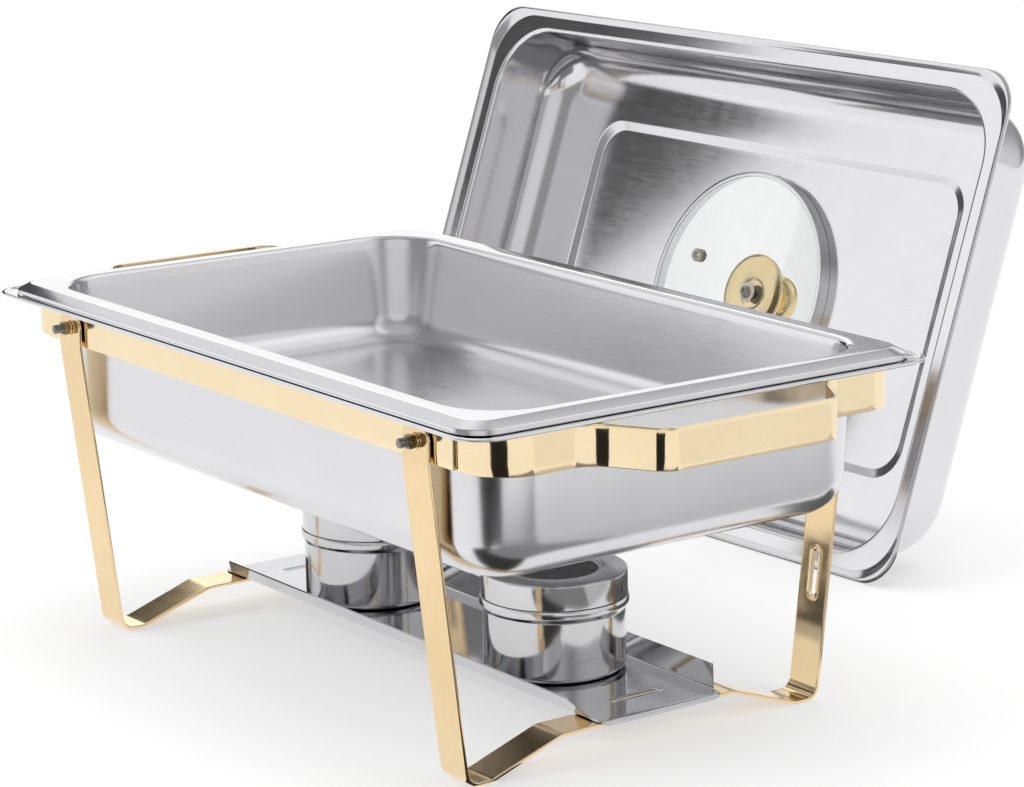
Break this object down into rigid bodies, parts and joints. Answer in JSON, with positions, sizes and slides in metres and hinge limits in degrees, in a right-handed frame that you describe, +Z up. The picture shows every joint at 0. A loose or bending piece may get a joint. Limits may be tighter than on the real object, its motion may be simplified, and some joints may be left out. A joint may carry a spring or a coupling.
{
  "type": "chafing dish",
  "caption": "Rectangular buffet food warmer: gilt folding strip frame, steel water pan and food pan, fuel tray with cans, and a windowed lid standing behind.",
  "frame": {"origin": "centre of the bounding box, on the floor", "axes": "+X along the long side to the viewer's right, +Y from the front of the dish towards the lid behind it, +Z up"},
  "size_m": [0.8414, 0.6732, 0.3523],
  "materials": {
    "gilt_strip": "pale gold-coloured plating on polished steel strip",
    "gilt_knob": "pale gold-coloured plating, polished",
    "satin_steel": "finely brushed satin stainless steel",
    "bright_steel": "polished bright steel",
    "dark_fastener": "black-nickel plated fasteners",
    "clear_glass": "clear domed glass",
    "grey_rubber": "translucent grey silicone"
  },
  "bodies": {
    "frame": {"front_rail": "gilt_strip", "rear_rail": "gilt_strip", "left_end_band": "gilt_strip", "right_end_band": "gilt_strip", "pivot_bolt_front_left": "dark_fastener", "pivot_spacer_front_left": "dark_fastener", "pivot_washer_front_left": "dark_fastener", "pivot_nut_front_left": "dark_fastener", "pivot_bolt_front_right": "dark_fastener", "pivot_spacer_front_right": "dark_fastener", "pivot_washer_front_right": "dark_fastener", "pivot_nut_front_right": "dark_fastener", "pivot_bolt_rear_left": "dark_fastener", "pivot_spacer_rear_left": "dark_fastener", "pivot_washer_rear_left": "dark_fastener", "pivot_nut_rear_left": "dark_fastener", "pivot_bolt_rear_right": "dark_fastener", "pivot_spacer_rear_right": "dark_fastener", "pivot_washer_rear_right": "dark_fastener", "pivot_nut_rear_right": "dark_fastener"},
    "left_legs": {"left_leg_frame": "gilt_strip"},
    "right_legs": {"right_leg_frame": "gilt_strip"},
    "tray": {"fuel_tray": "bright_steel"},
    "left_can_body": {"left_can": "bright_steel"},
    "right_can_body": {"right_can": "bright_steel"},
    "left_cover_body": {"left_can_cover": "bright_steel"},
    "right_cover_body": {"right_can_cover": "bright_steel"},
    "water": {"water_pan": "satin_steel"},
    "food": {"food_pan": "satin_steel"},
    "lid": {"lid_shell": "satin_steel", "lid_bezel": "bright_steel", "lid_glass": "clear_glass", "vent_grommet": "bright_steel", "knob": "gilt_knob", "knob_screw": "dark_fastener", "knob_washer": "grey_rubber"}
  },
  "joints": [
    {"name": "left_leg_fold", "type": "hinge", "parent": "frame", "child": "left_legs", "pos_m": [-0.09435, -0.1632, 0.2097], "axis": [0, -1, 0], "range_deg": [0, 34]},
    {"name": "right_leg_fold", "type": "hinge", "parent": "frame", "child": "right_legs", "pos_m": [0.30765, -0.1632, 0.2097], "axis": [0, 1, 0], "range_deg": [0, 34]},
    {"name": "tray_lift", "type": "slide", "parent": "frame", "child": "tray", "axis": [0, 0, 1], "range_m": [0, 0.043]},
    {"name": "water_pan_lift", "type": "slide", "parent": "tray", "child": "water", "axis": [0, 0, 1], "range_m": [0, 0.11]},
    {"name": "food_pan_lift", "type": "slide", "parent": "water", "child": "food", "axis": [0, 0, 1], "range_m": [0, 0.08]},
    {"name": "left_can_lift", "type": "slide", "parent": "tray", "child": "left_can_body", "axis": [0, 0, 1], "range_m": [0, 0.012]},
    {"name": "right_can_lift", "type": "slide", "parent": "tray", "child": "right_can_body", "axis": [0, 0, 1], "range_m": [0, 0.012]},
    {"name": "left_cover_lift", "type": "slide", "parent": "left_can_body", "child": "left_cover_body", "axis": [0, 0, 1], "range_m": [0, 0.017]},
    {"name": "right_cover_lift", "type": "slide", "parent": "right_can_body", "child": "right_cover_body", "axis": [0, 0, 1], "range_m": [0, 0.017]},
    {"name": "lid_lift", "type": "slide", "parent": "frame", "child": "lid", "axis": [0, 0, 1], "range_m": [0, 0.3]}
  ],
  "couplings": [
    {"joint": "right_leg_fold", "follows": "left_leg_fold", "ratio": 1},
    {"joint": "tray_lift", "follows": "left_leg_fold", "m_per_rad": 0.072}
  ]
}
